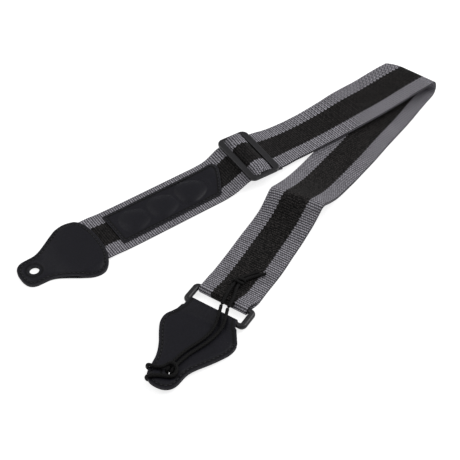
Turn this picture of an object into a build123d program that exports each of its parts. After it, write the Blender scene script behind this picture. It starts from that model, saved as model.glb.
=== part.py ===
"""A guitar strap laid folded in a V: webbing, two leather tabs, a pick holder, a slider, a ring and a lace.

Everything is in millimetres, +Z up, with the floor at z = 0. Three frames share that floor and lie a little
askew: run 1 (from tab A's hole towards the fold), run 2 (from the ring towards the fold) and the ring's own.
"""

from build123d import *
import os
from math import cos, pi, radians, sin, tan

os.makedirs("parts", exist_ok=True)

# ---------------------------------------------------------------- driving dimensions
MIDDLE = (203.24, -67.46)  # the middle of the strap's outline, seen from tab A's hole

WEB_W = 50.0  # webbing width
WEB_T = 1.5  # webbing thickness
LAYER = WEB_T + 0.1  # from one layer of webbing to the next
LEATHER = 1.4  # one layer of leather
SEAT = 0.05  # between two pieces that lie on each other

FOLD_X = 408.0  # where run 1 starts round the fold
FOLD_R = 8.25  # outside radius of the fold
V_ANGLE = 20.4  # between the two runs
RUN_2_LENGTH = 322.4  # from the ring's upper bar to the fold
HUMP_X, HUMP_Z = 118.0, 20.5  # crest of the hump in run 2
HUMP_RISE, HUMP_FALL = 50.0, 56.0

SLIDER_X, SLIDER_Z = 214.6, 11.8  # the slider's middle bar
SLIDER_YAW = -3.0
SLIDER_L, SLIDER_W, SLIDER_T = 31.0, 60.0, 3.0
SLIDER_BAR, SLIDER_END = 5.9, 3.8  # widths of an outer bar and of an end bar
SLIDER_CORNER = 6.0
MIDDLE_BAR_R = 1.6
WRAP_SLOPE = 40.5  # how steeply the webbing climbs to the middle bar
FOOT_DROP = 3.1  # from the middle bar's axis down to the webbing's underside at the outer bars

RING_YAW = 22.0
RING_W = 57.4  # outside, across the strap
RING_END = 5.6  # width of an end bar
RING_SHIFT = -1.0  # the ring has slid a little to one side
RING_BAR_R = 2.25
RING_PITCH = 16.1  # between the axes of the two long bars
RING_Z = 4.05
RING_CORNER = 2.6
PLAY = 0.06  # running clearance of a loop on a ring bar
RING_LOOP_L, RING_LOOP_W = 54.0, 43.4

TAB_TIP, TAB_WAIST, TAB_WIDE, TAB_END = -13.5, 14.7, 32.0, 59.2
TAB_A_X, TAB_A_Y = -0.9, -0.9  # tab A's hole from run 1's axis
HOLE_R = 4.0
NECK_W = 43.4
TAB_B_HOLE = (-65.0, -4.0)  # tab B's hole from the ring's lower bar, along and across the ring frame
TAB_B_YAW = 25.8
TAB_B_TILT = 2.55  # tab B's tip rests on the lace
TAB_B_LIFT = 3.2  # height of tab B's underside at its hole
TAB_B_SEAM = 48.0  # where the neck's fold is sewn down

PATCH_X0, PATCH_X1, PATCH_W, PATCH_T = 75.6, 190.2, 37.0, 1.3
BEND_X = 181.0  # where run 1 starts to climb to the slider
POCKET_X0, POCKET_PITCH, POCKET_R, POCKET_CORNER, POCKET_T = 94.0, 29.0, 15.4, 8.4, 1.2

STITCH_L, STITCH_W, STITCH_H = 2.3, 0.7, 0.35
STITCH_PITCH, STITCH_INSET = 3.6, 2.6

LACE_R = 1.4


# ---------------------------------------------------------------- frames
def flat_frame(x, y, yaw, z=0.0):
    """A level plane whose x runs along the part; its origin is given from tab A's hole."""
    a = radians(yaw)
    return Plane(origin=(x - MIDDLE[0], y - MIDDLE[1], z), x_dir=(cos(a), sin(a), 0), z_dir=(0, 0, 1))


def side_frame(x, y, yaw):
    """The upright plane through the same axis: x along the part, y up."""
    a = radians(yaw)
    origin = (x - MIDDLE[0], y - MIDDLE[1], 0)
    return Plane(origin=origin, x_dir=(cos(a), sin(a), 0), z_dir=(sin(a), -cos(a), 0))


v_half = radians(V_ANGLE / 2)
fold_drift = 2 * FOLD_R * tan(v_half)
fold_2 = (FOLD_X + fold_drift * sin(v_half), -fold_drift * cos(v_half))
upper_bar = (
    fold_2[0] - RUN_2_LENGTH * cos(radians(V_ANGLE)),
    fold_2[1] - RUN_2_LENGTH * sin(radians(V_ANGLE)),
)
ring_x, ring_y = cos(radians(RING_YAW)), sin(radians(RING_YAW))
tab_b_hole = (
    upper_bar[0] + (TAB_B_HOLE[0] - RING_PITCH) * ring_x - TAB_B_HOLE[1] * ring_y,
    upper_bar[1] + (TAB_B_HOLE[0] - RING_PITCH) * ring_y + TAB_B_HOLE[1] * ring_x,
)

RUN_1, RUN_1_SIDE = flat_frame(0, 0, 0), side_frame(0, 0, 0)
TAB_A = flat_frame(TAB_A_X, TAB_A_Y, 0)
RUN_2, RUN_2_SIDE = flat_frame(*upper_bar, V_ANGLE), side_frame(*upper_bar, V_ANGLE)
CREASE, CREASE_SIDE = flat_frame(FOLD_X, 0, V_ANGLE / 2, FOLD_R), side_frame(FOLD_X, 0, V_ANGLE / 2)
SLIDER, SLIDER_SIDE = flat_frame(SLIDER_X, 0, SLIDER_YAW), side_frame(SLIDER_X, 0, SLIDER_YAW)
RING, RING_SIDE = flat_frame(*upper_bar, RING_YAW, RING_Z), side_frame(*upper_bar, RING_YAW)
TAB_B = flat_frame(*tab_b_hole, TAB_B_YAW, TAB_B_LIFT).rotated((0, TAB_B_TILT, 0))


def save(piece, label):
    piece.part.label = label
    export_step(piece.part, f"parts/{label}.step")


# ---------------------------------------------------------------- webbing
def strip(plane, points, radii, width, thickness=WEB_T):
    """A band whose underside follows the points, seen from the side."""
    with BuildPart() as band:
        with BuildSketch(plane):
            with BuildLine():
                FilletPolyline(*points, radius=radii)
                offset(amount=thickness, side=Side.LEFT)
            make_face()
        extrude(amount=width / 2, both=True)
    return band


def up_to_crease(band):
    """The band, trimmed where the fold starts."""
    with BuildPart() as trimmed:
        add(band.part)
        split(bisect_by=Plane(origin=CREASE.origin, z_dir=CREASE.x_dir), keep=Keep.BOTTOM)
    return trimmed


def quarter_turn(radius, start, run):
    """A quarter of the fold's turn from the start angle, kept within the run's own width."""
    with BuildPart() as turn:
        with BuildSketch(CREASE_SIDE):
            with Locations((0, FOLD_R)):
                with BuildLine():
                    outer = CenterArc((0, FOLD_R), radius, start, 90)
                    inner = CenterArc((0, FOLD_R), radius - WEB_T, start, 90)
                    Line(outer @ 0, inner @ 0)
                    Line(outer @ 1, inner @ 1)
            make_face()
        extrude(amount=WEB_W, both=True)
        with BuildSketch(run):
            Rectangle(3 * RUN_2_LENGTH, WEB_W)
        extrude(amount=3 * FOLD_R, mode=Mode.INTERSECT)
    return turn


def whole_fold(radius):
    with BuildPart() as turn:
        add(quarter_turn(radius, 0, RUN_1).part)
        add(quarter_turn(radius, -90, RUN_2).part)
    return turn


def raised(points, height):
    """The line shifted to its left by height, so that the next layer lies on it."""
    sides = []
    for (x0, z0), (x1, z1) in zip(points, points[1:]):
        sides.append(Vector(z0 - z1, x1 - x0).normalized())
    shifted = []
    for (x, z), before, after in zip(points, sides[:1] + sides, sides + sides[-1:]):
        step = (before + after) * (height / (1 + before.dot(after)))
        shifted.append((x + step.X, z + step.Y))
    return shifted


def loop(plane, centre, inner_r, thickness, tip, end, width):
    """A band turned round a bar: a teardrop from the bar to tip (x, z0, z1), then two flat plies to end."""
    tip_x, z0, z1 = tip
    seam = (z0 + z1) / 2
    with BuildPart() as turned:
        with BuildSketch(plane):
            with BuildLine():
                CenterArc(centre, inner_r + thickness, 0, 360)
                Line((tip_x, z0), (tip_x, z1))
            make_hull()
            with BuildLine():
                Polyline((tip_x, z0), (end, z0), (end, z1), (tip_x, z1), close=True)
            make_face()
        extrude(amount=width / 2, both=True)
        with BuildSketch(plane):
            with BuildLine():
                CenterArc(centre, inner_r, 0, 360)
                Line((tip_x, seam - SEAT / 2), (tip_x, seam + SEAT / 2))
            make_hull()
        extrude(amount=width / 2, both=True, mode=Mode.SUBTRACT)
    return turned


foot_z = SLIDER_Z - FOOT_DROP
foot_x = SLIDER_L / 2 - SLIDER_BAR + 1.5
wrap_r = MIDDLE_BAR_R + WEB_T + 2 * SEAT
wrap_top = SLIDER_Z + wrap_r / cos(radians(WRAP_SLOPE))
kink_x = (wrap_top - foot_z) / tan(radians(WRAP_SLOPE))
skew = WEB_W / 2 * tan(radians(-SLIDER_YAW)) + 0.2  # keeps square-cut ends clear of the slider's askew ones

tab_end_line = [(24, LEATHER + SEAT), (64, LEATHER + SEAT), (73, 0), (BEND_X, 0)]
tab_end_line += [(199.4, foot_z), (SLIDER_X - foot_x - skew, foot_z)]
save(strip(RUN_1_SIDE, tab_end_line, [30, 30, 14, 4], WEB_W), "webbing_tab_end")

# Between the slider and the fold the strap is double: the returning layer lies under the outer one.
fold_z = 2 * FOLD_R - WEB_T
run_1_line = [(233, foot_z), (258, 4.4), (276, 5.1), (330, 9.8), (386, fold_z), (FOLD_X + WEB_W, fold_z)]
for label, below, start in (
    ("webbing_run_1_upper", 0, SLIDER_X + foot_x + skew),
    ("webbing_run_1_lower", LAYER, SLIDER_X + foot_x + skew + 4.4),
):
    line = raised([(start, foot_z)] + run_1_line, -below)
    save(up_to_crease(strip(RUN_1_SIDE, line, [8, 60, 200, 300, 120], WEB_W)), label)

save(whole_fold(FOLD_R), "webbing_fold_outer")
save(whole_fold(FOLD_R - LAYER), "webbing_fold_inner")

run_2_line = [(RING_LOOP_L + 1.2, 0), (HUMP_X - HUMP_RISE, 0), (HUMP_X, HUMP_Z), (HUMP_X + HUMP_FALL, 0)]
run_2_line += [(RUN_2_LENGTH + WEB_W, 0)]
for label, lift in (("webbing_run_2_lower", 0), ("webbing_run_2_upper", LAYER)):
    line = raised(run_2_line, lift)
    save(up_to_crease(strip(RUN_2_SIDE, line, [40 - lift, 14 + lift, 40 - lift], WEB_W)), label)

ring_bore = RING_BAR_R + PLAY
ring_loop_tip = (24, 0, WEB_T + LAYER)
ring_loop = loop(RING_SIDE, (0, RING_Z), ring_bore, WEB_T, ring_loop_tip, RING_LOOP_L, RING_LOOP_W)
save(ring_loop, "webbing_ring_loop")

wrap_line = [(-foot_x, foot_z), (-kink_x, foot_z), (0, wrap_top), (kink_x, foot_z), (foot_x, foot_z)]
save(strip(SLIDER_SIDE, wrap_line, [2.0, wrap_r, 2.0], WEB_W), "webbing_slider_wrap")

end_loop_top = foot_z - 2 * SEAT
end_loop_tip = (kink_x - 0.5, end_loop_top - 2 * WEB_T, end_loop_top)
end_loop = loop(SLIDER_SIDE, (0, SLIDER_Z), MIDDLE_BAR_R + SEAT, WEB_T, end_loop_tip, foot_x + 4.2, WEB_W - 1)
save(end_loop, "webbing_end_loop")

# ---------------------------------------------------------------- slider and ring
with BuildPart() as slider:
    with BuildSketch(Plane(SLIDER.location * Location((0, 0, SLIDER_Z - SLIDER_T / 2)))):
        RectangleRounded(SLIDER_L, SLIDER_W, SLIDER_CORNER)
        RectangleRounded(SLIDER_L - 2 * SLIDER_BAR, SLIDER_W - 2 * SLIDER_END, 1.5, mode=Mode.SUBTRACT)
    extrude(amount=SLIDER_T)
    rims = slider.edges().group_by(Axis.Z)[-1] + slider.edges().group_by(Axis.Z)[0]
    fillet(rims, radius=0.8)
    with BuildSketch(SLIDER_SIDE):
        with Locations((0, SLIDER_Z)):
            Circle(MIDDLE_BAR_R)
    extrude(amount=(SLIDER_W - SLIDER_END) / 2, both=True)
save(slider, "slider")

with BuildPart() as ring:
    for half in (RING_W / 2 - RING_BAR_R, RING_W / 2 - RING_END + RING_BAR_R):
        low, high = RING_SHIFT - half, RING_SHIFT + half
        with BuildLine(RING) as ring_path:
            corners = [(-RING_PITCH, low), (0, low), (0, high), (-RING_PITCH, high)]
            FilletPolyline(*corners, radius=RING_CORNER, close=True)
        with BuildSketch(Plane(origin=ring_path.line @ 0, z_dir=ring_path.line % 0)):
            Circle(RING_BAR_R)
        sweep()
save(ring, "ring")


# ---------------------------------------------------------------- leather tabs
def tab_outline(neck=False, inset=0.0, x_end=100.0):
    """A tab round its hole, x towards the webbing: a blunt tip, a waist and a wide end or a neck."""
    with BuildSketch() as outline:
        with BuildLine():
            tip = FilletPolyline((TAB_TIP, 0), (TAB_TIP, TAB_WAIST), (2, TAB_WAIST), radius=7.4)
            flank = Spline(tip @ 1, (20, 21.2), (31, 28.2), (43, TAB_WIDE), tangents=[(1, 0), (1, 0)])
            if neck:
                end = Spline(flank @ 1, (51, 30.2), (58, 26.0), (66, 23.6), tangents=[(1, 0), (1, 0)])
                Line(end @ 1, (66, 0))
            else:
                Spline(flank @ 1, (50.4, 29.6), (55.4, 24), (TAB_END, 0), tangents=[(1, 0), (0, -1)])
            mirror(about=Plane.XZ)
        make_face()
        if inset:
            offset(amount=-inset)
        else:
            Circle(HOLE_R, mode=Mode.SUBTRACT)
        with Locations((x_end, 0)):
            Rectangle(200, 4 * TAB_WIDE, align=(Align.MAX, Align.CENTER), mode=Mode.INTERSECT)
    return outline.sketch


def stitches(frame, seam, surface):
    """Stitches along a seam drawn in the frame's x and y; surface gives the leather's height at x."""
    count = round(seam.length / STITCH_PITCH)
    places = []
    for i in range(count):
        spot, way = seam @ ((i + 0.5) / count), seam % ((i + 0.5) / count)
        on_seam = Plane(origin=(spot.X, spot.Y, surface(spot.X)), x_dir=way, z_dir=(0, 0, 1))
        places.append(frame.location * on_seam.location)
    with BuildPart() as thread:
        with Locations(*places):
            Box(STITCH_L, STITCH_W, STITCH_H, align=(Align.CENTER, Align.CENTER, Align.MIN))
    return thread


tab_a_rise = [(TAB_TIP - 5, LEATHER + SEAT), (10, LEATHER + SEAT), (24, LEATHER + WEB_T + 2 * SEAT)]
tab_a_rise += [(TAB_END + 5, LEATHER + WEB_T + 2 * SEAT)]
tab_a_high = 2 * LEATHER + WEB_T + 2 * SEAT

with BuildPart() as tab_a_lower:
    with BuildSketch(TAB_A):
        add(tab_outline())
    extrude(amount=LEATHER)
save(tab_a_lower, "tab_a_lower")

with BuildPart() as tab_a_upper:
    with BuildSketch(TAB_A):
        add(tab_outline())
    extrude(amount=3 * tab_a_high)
    add(strip(RUN_1_SIDE, tab_a_rise, [30, 30], 4 * TAB_WIDE, LEATHER).part, mode=Mode.INTERSECT)
save(tab_a_upper, "tab_a_upper")


def tab_a_surface(x):
    """Just above the upper leather, which climbs over the webbing's end between x = 8 and x = 26."""
    climb = min(max((x - 8) / 16, 0), 1)
    return 2 * LEATHER + SEAT + climb * (WEB_T + SEAT) + (0.15 if 0 < climb < 1 else 0)


save(stitches(TAB_A, tab_outline(inset=STITCH_INSET).face().outer_wire(), tab_a_surface), "tab_a_stitching")

with BuildPart() as tab_b_lower:
    with BuildSketch(TAB_B):
        add(tab_outline(neck=True, x_end=TAB_B_SEAM - 1.6))
    extrude(amount=LEATHER)
save(tab_b_lower, "tab_b_lower")

neck_z = TAB_B_LIFT - (TAB_B_SEAM + 4) * tan(radians(TAB_B_TILT))
neck_tip = (-RING_PITCH - 10, neck_z, neck_z + 2 * LEATHER + SEAT)
neck_end = TAB_B_HOLE[0] - RING_PITCH + TAB_B_SEAM
neck_loop = loop(RING_SIDE, (-RING_PITCH, RING_Z), ring_bore, LEATHER, neck_tip, neck_end, NECK_W)
with BuildPart() as tab_b_upper:
    with BuildSketch(Plane(TAB_B.location * Location((0, 0, LEATHER + SEAT)))):
        add(tab_outline(neck=True, x_end=TAB_B_SEAM + 12))
    extrude(amount=LEATHER)
    add(neck_loop.part)
save(tab_b_upper, "tab_b_upper")

tab_b_top = 2 * LEATHER + SEAT
tab_b_seam = tab_outline(neck=True, inset=STITCH_INSET, x_end=TAB_B_SEAM - 2).face().outer_wire()
save(stitches(TAB_B, tab_b_seam, lambda x: tab_b_top), "tab_b_stitching")

# ---------------------------------------------------------------- pick holder, sewn on the webbing
patch_slope = foot_z / (199.4 - BEND_X)
patch_kink = BEND_X - LAYER * tan(0.5 * 0.44)
patch_line = [(PATCH_X0, LAYER), (patch_kink, LAYER)]
patch_line += [(PATCH_X1, LAYER + patch_slope * (PATCH_X1 - patch_kink))]
pick_base = strip(RUN_1_SIDE, patch_line, [12], PATCH_W, PATCH_T)
with BuildPart() as pick_holder_base:
    add(pick_base.part)
    fillet(pick_holder_base.faces().sort_by(Axis.X)[-1].edges().sort_by(Axis.Y)[-1], radius=6)
save(pick_holder_base, "pick_holder_base")

for number in range(3):
    with BuildPart() as pocket:
        with BuildSketch(Plane(RUN_1.location * Location((0, 0, LAYER + PATCH_T + SEAT)))):
            with Locations((POCKET_X0 + number * POCKET_PITCH, 0)):
                with PolarLocations(POCKET_R - POCKET_CORNER, 3):
                    Circle(POCKET_CORNER)
            make_hull()
        extrude(amount=POCKET_T)
        fillet(pocket.edges().group_by(Axis.Z)[-1], radius=0.8)
    save(pocket, f"pick_pocket_{number + 1}")

with BuildLine() as pick_seam:
    seam_x1, seam_y = BEND_X - 2.5, PATCH_W / 2 - 2.0
    Polyline((seam_x1, seam_y), (PATCH_X0 + 2, seam_y), (PATCH_X0 + 2, -seam_y), (seam_x1, -seam_y))
pick_surface = LAYER + PATCH_T
save(stitches(RUN_1, pick_seam.wire(), lambda x: pick_surface), "pick_holder_stitching")


# ---------------------------------------------------------------- lace
def tube(route, radius):
    """A round tube along straight runs joined by the widest arcs, with its length and those radii."""
    radii = []
    for before, at, after in zip(route, route[1:], route[2:]):
        run_in, run_out = at - before, after - at
        turn = radians(run_in.get_angle(run_out))
        radii.append(0.45 * min(run_in.length, run_out.length) / tan(turn / 2))
    with BuildPart() as round_tube:
        with BuildLine() as path:
            FilletPolyline(*route, radius=radii)
        with BuildSketch(Plane(origin=path.line @ 0, z_dir=path.line % 0)):
            Circle(radius)
        sweep()
    return round_tube, path.wire().length, radii


def cord(route, label):
    lace, length, radii = tube(route, LACE_R)
    print(label, "length", round(length, 1), "volume", round(lace.part.volume / (pi * LACE_R**2 * length), 3))
    print("   radii", [round(r, 1) for r in radii])
    save(lace, label)


def by_ring(x, y, z):
    """A point from the ring's upper bar, with its height above the floor."""
    return (RING.location * Location((x, y, z - RING_Z))).position


def by_tab(x, y, z):
    """A point from tab B's hole, with its height above the tab's underside."""
    return (TAB_B.location * Location((x, y, z))).position


ON_TAB = tab_b_top + STITCH_H + LACE_R + 0.05
UNDER_TAB = -LACE_R - 0.1
TAIL_Z = 2 * LAYER + LACE_R + 0.1
KNOT = (18.4, -2.2, 8.0)

# Doubled over tab B, threaded through the hole, round the edge and hitched over itself.
hitch_route = [
    by_ring(-9.3, -3.6, 8.9),
    by_ring(-16.5, -6.6, 9.8),
    by_tab(53.8, -9.2, 5.6),
    by_tab(45, -9.0, ON_TAB),
    by_tab(36, -6.7, ON_TAB),
    by_tab(28, -3.4, ON_TAB),
    by_tab(20, -0.6, ON_TAB),
    by_tab(12, 1.2, ON_TAB),
    by_tab(6.2, 1.9, ON_TAB),
    by_tab(0.4, 1.75, ON_TAB),
    by_tab(0.1, 1.9, UNDER_TAB),
    by_tab(-1.0, 9, UNDER_TAB),
    by_tab(-2.4, 18.5, UNDER_TAB),
    by_tab(-2.5, 18.4, ON_TAB),
    by_tab(-1.2, 10.4, ON_TAB),
    by_tab(3.2, 5.8, ON_TAB + 0.6),
    by_tab(8.2, 2.6, ON_TAB + 3.2),
    by_tab(8.4, -3.4, ON_TAB + 3.2),
    by_tab(3.0, -6.8, ON_TAB + 0.6),
    by_tab(-4.2, -5.6, ON_TAB),
    by_tab(-7.4, 1.5, ON_TAB),
    by_tab(-9.2, 9.0, ON_TAB),
    by_tab(-13.9, 16.2, ON_TAB),
    by_tab(-13.7, 16.4, UNDER_TAB),
    by_tab(-9.4, 9.4, UNDER_TAB),
    by_tab(-5.4, 2.8, UNDER_TAB),
    by_tab(0.2, -1.9, UNDER_TAB),
    by_tab(0.5, -1.75, ON_TAB),
    by_tab(6.2, -1.7, ON_TAB),
    by_tab(12.5, -3.0, ON_TAB),
    by_tab(21, -5.2, ON_TAB),
    by_tab(30, -9.0, ON_TAB),
    by_tab(39, -12.4, ON_TAB),
    by_tab(49, -14.2, ON_TAB),
    by_tab(56, -14.8, 6.2),
    by_ring(-16.7, -12.6, 9.8),
    by_ring(-9.4, -9.6, 8.9),
]
cord(hitch_route, "lace_hitch")

# Both ends run on over the ring, through the knot, and lie loose on the webbing.
left_route = [
    by_ring(-8.7, -3.6, 8.9),
    by_ring(-1.5, -2.4, 9.6),
    by_ring(5.3, -1.2, 9.0),
    by_ring(11.7, -0.7, 8.5),
    by_ring(18.5, -0.6, 7.9),
    by_ring(25.1, -2.0, 6.0),
    by_ring(31.7, -5.6, TAIL_Z),
    by_ring(37.3, -10.0, TAIL_Z),
]
cord(left_route, "lace_left")
right_route = [
    by_ring(-8.8, -9.6, 8.9),
    by_ring(-1.7, -8.8, 9.6),
    by_ring(4.7, -7.2, 9.0),
    by_ring(11.3, -4.4, 8.5),
    by_ring(18.3, -3.8, 7.9),
    by_ring(25.3, -5.6, 6.0),
    by_ring(31.3, -9.2, TAIL_Z),
    by_ring(36.7, -13.6, TAIL_Z),
    by_ring(40.7, -18.4, TAIL_Z),
]
cord(right_route, "lace_right")

with BuildPart() as lace_knot:
    with BuildSketch(Plane(by_ring(*KNOT), x_dir=(-ring_y, ring_x, 0), z_dir=(ring_x, ring_y, 0))):
        SlotOverall(9.8, 6.0)
    extrude(amount=4.2, both=True)
    fillet(lace_knot.edges(), radius=2.0)
    for route in (left_route, right_route):
        add(tube(route, LACE_R + SEAT)[0].part, mode=Mode.SUBTRACT)
save(lace_knot, "lace_knot")
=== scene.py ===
"""A guitar strap laid folded in a V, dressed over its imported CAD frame.

The helpers work in millimetres, as the CAD does, and every mesh is turned to metres where it is made.
"""

from math import cos, pi, radians, sin, tan

import bpy
import numpy as np
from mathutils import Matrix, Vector
from mathutils.geometry import delaunay_2d_cdt


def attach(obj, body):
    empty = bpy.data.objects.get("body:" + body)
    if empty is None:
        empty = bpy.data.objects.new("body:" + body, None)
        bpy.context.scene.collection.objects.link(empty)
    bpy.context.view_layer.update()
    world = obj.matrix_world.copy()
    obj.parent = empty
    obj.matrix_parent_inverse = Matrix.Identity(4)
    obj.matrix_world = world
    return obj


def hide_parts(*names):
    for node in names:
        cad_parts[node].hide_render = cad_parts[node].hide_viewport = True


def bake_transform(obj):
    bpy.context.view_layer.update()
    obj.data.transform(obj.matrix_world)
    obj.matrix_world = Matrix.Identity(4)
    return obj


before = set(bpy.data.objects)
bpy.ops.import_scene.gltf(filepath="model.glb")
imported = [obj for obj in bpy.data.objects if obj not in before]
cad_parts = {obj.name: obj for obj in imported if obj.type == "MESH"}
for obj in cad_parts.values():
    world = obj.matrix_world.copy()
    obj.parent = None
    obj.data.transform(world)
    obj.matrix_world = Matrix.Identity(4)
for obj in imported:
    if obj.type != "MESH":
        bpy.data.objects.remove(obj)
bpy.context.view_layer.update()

MM = 0.001
scene = bpy.context.scene

# ---- the CAD's planes
MIDDLE = np.array([203.24, -67.46, 0.0])  # the outline's middle, seen from tab A's hole


class Plane:
    """A plane with x along the part: its origin is given from tab A's hole, and tilt turns x down."""

    def __init__(self, x, y, yaw, z=0.0, tilt=0.0):
        a, b = radians(yaw), radians(tilt)
        level, up = np.array([cos(a), sin(a), 0.0]), np.array([0.0, 0.0, 1.0])
        self.origin = np.array([x, y, z]) - MIDDLE
        self.x_dir = cos(b) * level - sin(b) * up
        self.y_dir = np.array([-sin(a), cos(a), 0.0])
        self.z_dir = cos(b) * up + sin(b) * level

    def at(self, x, y, z):
        x, y, z = np.broadcast_arrays(*(np.asarray(value, float) for value in (x, y, z)))
        return self.origin + x[..., None] * self.x_dir + y[..., None] * self.y_dir + z[..., None] * self.z_dir


V_ANGLE = 20.4
UPPER_BAR = (106.35, -115.30)  # the middle of the ring's upper bar
RING_YAW, RING_PITCH = 22.0, 16.1
SLIDER_X = 214.6
TAB_B_YAW = 25.8
BAR_Z = 4.05  # height of the ring's bars
SLIDER_Z = 11.8  # height of the slider's middle bar
LEATHER_T, LEATHER_GAP = 1.4, 0.05  # each leather's thickness, and the gap between a tab's two
CROWN = 0.35  # how far a tab's middle swells
STITCH_IN = 2.9  # how far in from the edge the tabs are stitched

run_1 = Plane(0, 0, 0)
run_2 = Plane(*UPPER_BAR, V_ANGLE)
ring_floor = Plane(*UPPER_BAR, RING_YAW)
slider_floor = Plane(SLIDER_X, 0, -3.0)
tab_a_plane = Plane(-0.9, -0.9, 0)
hole_b = ring_floor.at(-65.0 - RING_PITCH, -4.0, 0) + MIDDLE
tab_b_plane = Plane(hole_b[0], hole_b[1], TAB_B_YAW, 3.2, 2.55)


# ---- camera
def aim(obj, spot, target):
    obj.location = spot
    obj.rotation_euler = (Vector(target) - Vector(spot)).to_track_quat("-Z", "Y").to_euler()


camera = bpy.data.objects.new("camera", bpy.data.cameras.new("camera"))
scene.collection.objects.link(camera)
camera.data.sensor_width = 36
camera.data.lens = 74.06
camera.data.clip_start, camera.data.clip_end = 0.01, 20
aim(camera, (-0.36354, -0.42894, 0.5881), (-0.04804, 0.01226, 0))
scene.camera = camera


# ---- mesh helpers
def unit(vectors):
    return vectors / np.maximum(np.linalg.norm(vectors, axis=-1, keepdims=True), 1e-12)


def smooth(value, low, high):
    t = np.clip((np.asarray(value, float) - low) / (high - low), 0, 1)
    return t * t * (3 - 2 * t)


def skin(rows, sides):
    """Quads that join rows of points, where each row is a closed ring of as many points as it has sides."""
    k = np.arange(sides)
    n = (k + 1) % sides
    a = sides * np.arange(rows - 1)[:, None]
    b = a + sides
    return np.stack([a + k, b + k, b + n, a + n], axis=-1).reshape(-1, 4)


def make_object(name, verts, faces, material, **attributes):
    """A smooth-shaded mesh from points in millimetres, with its resting place kept for the textures."""
    mesh = bpy.data.meshes.new(name)
    mesh.from_pydata((verts * MM).tolist(), [], faces)
    mesh.polygons.foreach_set("use_smooth", [True] * len(mesh.polygons))
    for key, values in attributes.items():
        mesh.attributes.new(key, "FLOAT", "POINT").data.foreach_set("value", np.asarray(values, np.float32))
    place = mesh.attributes.new("place", "FLOAT_VECTOR", "POINT")
    place.data.foreach_set("vector", np.asarray(verts, np.float32).ravel())
    mesh.materials.append(material)
    mesh.update()
    obj = bpy.data.objects.new(name, mesh)
    scene.collection.objects.link(obj)
    return obj


# ---- material helpers
class Graph:
    """A Principled material, and short ways to add nodes to it."""

    def __init__(self, name, **sockets):
        self.material = bpy.data.materials.new(name)
        self.material.use_nodes = True
        self.tree = self.material.node_tree
        self.shader = self.tree.nodes["Principled BSDF"]
        for key, value in sockets.items():
            self.shader.inputs[key.replace("_", " ")].default_value = value

    def put(self, socket, value):
        if hasattr(value, "links"):
            self.tree.links.new(value, socket)
        else:
            socket.default_value = value

    def attribute(self, name, output="Fac"):
        node = self.tree.nodes.new("ShaderNodeAttribute")
        node.attribute_name = name
        return node.outputs[output]

    def math(self, operation, *values):
        node = self.tree.nodes.new("ShaderNodeMath")
        node.operation = operation
        for socket, value in zip(node.inputs, values):
            self.put(socket, value)
        return node.outputs[0]

    def add(self, first, second):
        return self.math("ADD", first, second)

    def times(self, first, second):
        return self.math("MULTIPLY", first, second)

    def sine(self, angle):
        return self.math("SINE", angle)

    def size(self, value):
        return self.math("ABSOLUTE", value)

    def ramp(self, value, low, high, to_low=0.0, to_high=1.0, kind="SMOOTHSTEP"):
        node = self.tree.nodes.new("ShaderNodeMapRange")
        node.interpolation_type = kind
        settings = {"Value": value, "From Min": low, "From Max": high, "To Min": to_low, "To Max": to_high}
        for key, item in settings.items():
            self.put(node.inputs[key], item)
        return node.outputs["Result"]

    def noise(self, vector, scale, detail=2.0, roughness=0.5):
        node = self.tree.nodes.new("ShaderNodeTexNoise")
        self.put(node.inputs["Vector"], vector)
        node.inputs["Scale"].default_value = scale
        node.inputs["Detail"].default_value = detail
        node.inputs["Roughness"].default_value = roughness
        return node.outputs["Fac"]

    def cells(self, vector, scale, feature="F1"):
        node = self.tree.nodes.new("ShaderNodeTexVoronoi")
        node.feature = feature
        self.put(node.inputs["Vector"], vector)
        node.inputs["Scale"].default_value = scale
        return node.outputs["Distance"]

    def coordinates(self):
        return self.tree.nodes.new("ShaderNodeTexCoord").outputs["Object"]

    def x_of(self, vector):
        node = self.tree.nodes.new("ShaderNodeSeparateXYZ")
        self.put(node.inputs[0], vector)
        return node.outputs["X"]

    def mix(self, factor, first, second):
        node = self.tree.nodes.new("ShaderNodeMix")
        node.data_type = "RGBA"
        self.put(node.inputs[0], factor)
        for socket, value in ((node.inputs[6], first), (node.inputs[7], second)):
            self.put(socket, (*value, 1) if isinstance(value, tuple) else value)
        return node.outputs[2]

    def vector(self, x, y, z=0.0):
        node = self.tree.nodes.new("ShaderNodeCombineXYZ")
        for socket, value in zip(node.inputs, (x, y, z)):
            self.put(socket, value)
        return node.outputs[0]

    def bump(self, height, distance, strength):
        node = self.tree.nodes.new("ShaderNodeBump")
        self.put(node.inputs["Height"], height)
        node.inputs["Distance"].default_value = distance
        node.inputs["Strength"].default_value = strength
        return node.outputs[0]

    def finish(self, colour=None, roughness=None, normal=None):
        for key, value in (("Base Color", colour), ("Roughness", roughness), ("Normal", normal)):
            if value is not None:
                self.put(self.shader.inputs[key], value)
        return self.material


RIB, YARN = 2.1, 1.9  # pitches of the webbing's cross ribs and of its yarns
CHECK = 3.9  # pitch across the webbing of the larger check
STRIPE = 12.0  # half the width of the black middle


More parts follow.
